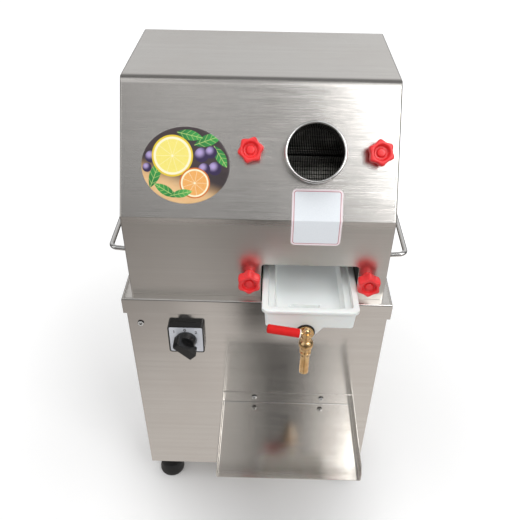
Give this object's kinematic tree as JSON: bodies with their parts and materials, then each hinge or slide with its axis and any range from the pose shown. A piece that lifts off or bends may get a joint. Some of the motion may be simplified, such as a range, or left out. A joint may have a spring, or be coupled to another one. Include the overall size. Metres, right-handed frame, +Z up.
{
  "type": "electric sugarcane juicer",
  "caption": "Floor-standing electric sugarcane juicer with a sloping steel hood, feed tube, fluted roller press, geared drive, slide-out juice tray with a brass tap, and a splash shelf.",
  "frame": {"origin": "on the floor, under the middle of the overall box", "axes": "+Z up, -Y to the front where the tray and tap stand out, +X to the right as seen from the front"},
  "size_m": [0.4996, 0.514, 0.871],
  "materials": {
    "stainless_sheet": "satin, brushed across",
    "bright_steel": "polished",
    "plate_steel": "milled",
    "roller_steel": "fluted and knurled",
    "gear_steel": "oiled",
    "cast_iron": "painted casting",
    "grey_paint": "satin paint",
    "blue_paint": "satin paint",
    "bronze": "turned",
    "brass": "polished",
    "red_plastic": "glossy",
    "white_plastic": "satin moulded",
    "black_plastic": "satin to glossy",
    "face_plate": "satin, printed",
    "rubber": "matte"
  },
  "bodies": {
    "cabinet": {"cabinet_front": "stainless_sheet", "cabinet_side_left": "stainless_sheet", "cabinet_side_right": "stainless_sheet", "cabinet_back": "stainless_sheet", "cabinet_floor": "stainless_sheet", "deck_cap": "stainless_sheet", "cabinet_screws": "bright_steel", "foot_pads": "rubber", "foot_stems": "bright_steel", "hood_cover": "stainless_sheet", "hood_side_left": "stainless_sheet", "hood_side_right": "stainless_sheet", "hood_back": "stainless_sheet", "feed_tube": "bright_steel", "handle_left": "bright_steel", "handle_right": "bright_steel", "cover_studs": "bright_steel", "press_plate_left": "plate_steel", "press_plate_right": "plate_steel", "tie_bars": "bright_steel", "bronze_bushes": "bronze", "idler_pin": "bright_steel", "juice_pan": "stainless_sheet", "cane_chute": "stainless_sheet", "bearing_blocks": "grey_paint", "countershaft_stand": "grey_paint", "drive_belt": "rubber", "gearbox": "blue_paint", "motor_body": "blue_paint", "motor_platform": "stainless_sheet", "switch_body": "black_plastic", "switch_frame": "black_plastic", "switch_plate": "face_plate", "splash_shelf": "stainless_sheet"},
    "rear_upper_roller": {"roller_rear_upper": "roller_steel", "gear_rear_upper": "gear_steel", "drive_gear": "gear_steel"},
    "rear_lower_roller": {"roller_rear_lower": "roller_steel", "gear_rear_lower": "gear_steel"},
    "front_upper_roller": {"roller_front_upper": "roller_steel", "gear_front_upper": "gear_steel"},
    "front_lower_roller": {"roller_front_lower": "roller_steel", "gear_front_lower": "gear_steel"},
    "idler": {"idler_gear": "gear_steel"},
    "countershaft": {"pinion_shaft": "gear_steel", "large_pulley": "cast_iron"},
    "motor_output": {"motor_shaft": "bright_steel", "motor_pulley": "cast_iron"},
    "tray": {"juice_tray": "white_plastic", "tap_gasket": "rubber", "tap_body": "brass", "tap_lock_nut": "brass"},
    "tap_handle": {"tap_ball": "bright_steel", "tap_lever": "brass", "tap_sleeve": "red_plastic"},
    "switch_dial": {"switch_knob": "black_plastic"},
    "upper_left_knob": {"knob_upper_left": "red_plastic"},
    "upper_right_knob": {"knob_upper_right": "red_plastic"},
    "lower_left_knob": {"knob_lower_left": "red_plastic"},
    "lower_right_knob": {"knob_lower_right": "red_plastic"}
  },
  "joints": [
    {"name": "rear_upper_roller_spin", "type": "hinge", "parent": "cabinet", "child": "rear_upper_roller", "pos_m": [0.083, 0.11646, 0.73349], "axis": [1, 0, 0], "continuous": true},
    {"name": "rear_lower_roller_spin", "type": "hinge", "parent": "cabinet", "child": "rear_lower_roller", "pos_m": [0.083, 0.07398, 0.66807], "axis": [1, 0, 0], "continuous": true},
    {"name": "front_upper_roller_spin", "type": "hinge", "parent": "cabinet", "child": "front_upper_roller", "pos_m": [0.083, 0.04266, 0.78141], "axis": [1, 0, 0], "continuous": true},
    {"name": "front_lower_roller_spin", "type": "hinge", "parent": "cabinet", "child": "front_lower_roller", "pos_m": [0.083, 0.00018, 0.716], "axis": [1, 0, 0], "continuous": true},
    {"name": "idler_spin", "type": "hinge", "parent": "cabinet", "child": "idler", "pos_m": [-0.033, 0.11464, 0.81146], "axis": [1, 0, 0], "continuous": true},
    {"name": "countershaft_spin", "type": "hinge", "parent": "cabinet", "child": "countershaft", "pos_m": [-0.12, 0.14623, 0.62967], "axis": [1, 0, 0], "continuous": true},
    {"name": "motor_output_spin", "type": "hinge", "parent": "cabinet", "child": "motor_output", "pos_m": [-0.15, 0.106, 0.29], "axis": [1, 0, 0], "continuous": true},
    {"name": "tray_slide", "type": "slide", "parent": "cabinet", "child": "tray", "axis": [0, -1, 0], "range_m": [0, 0.18]},
    {"name": "tap_turn", "type": "hinge", "parent": "tray", "child": "tap_handle", "pos_m": [0.079, -0.181, 0.5308], "axis": [0, 0, 1], "range_deg": [0, 90]},
    {"name": "switch_turn", "type": "hinge", "parent": "cabinet", "child": "switch_dial", "pos_m": [-0.121, -0.106, 0.455], "axis": [0, 1, 0], "range_deg": [0, 90]},
    {"name": "upper_left_knob_turn", "type": "hinge", "parent": "cabinet", "child": "upper_left_knob", "pos_m": [-0.012, -0.02945, 0.78054], "axis": [0, -0.8387, 0.5446], "continuous": true},
    {"name": "upper_right_knob_turn", "type": "hinge", "parent": "cabinet", "child": "upper_right_knob", "pos_m": [0.178, -0.02945, 0.78054], "axis": [0, -0.8387, 0.5446], "continuous": true},
    {"name": "lower_left_knob_turn", "type": "hinge", "parent": "cabinet", "child": "lower_left_knob", "pos_m": [-0.012, -0.085, 0.58884], "axis": [0, -1, 0], "continuous": true},
    {"name": "lower_right_knob_turn", "type": "hinge", "parent": "cabinet", "child": "lower_right_knob", "pos_m": [0.178, -0.085, 0.58884], "axis": [0, -1, 0], "continuous": true}
  ],
  "couplings": [
    {"joint": "rear_lower_roller_spin", "follows": "rear_upper_roller_spin", "ratio": -1},
    {"joint": "idler_spin", "follows": "rear_upper_roller_spin", "ratio": -1},
    {"joint": "front_upper_roller_spin", "follows": "rear_upper_roller_spin", "ratio": 1},
    {"joint": "front_lower_roller_spin", "follows": "rear_upper_roller_spin", "ratio": -1},
    {"joint": "countershaft_spin", "follows": "rear_upper_roller_spin", "ratio": -3},
    {"joint": "motor_output_spin", "follows": "rear_upper_roller_spin", "ratio": -6}
  ]
}
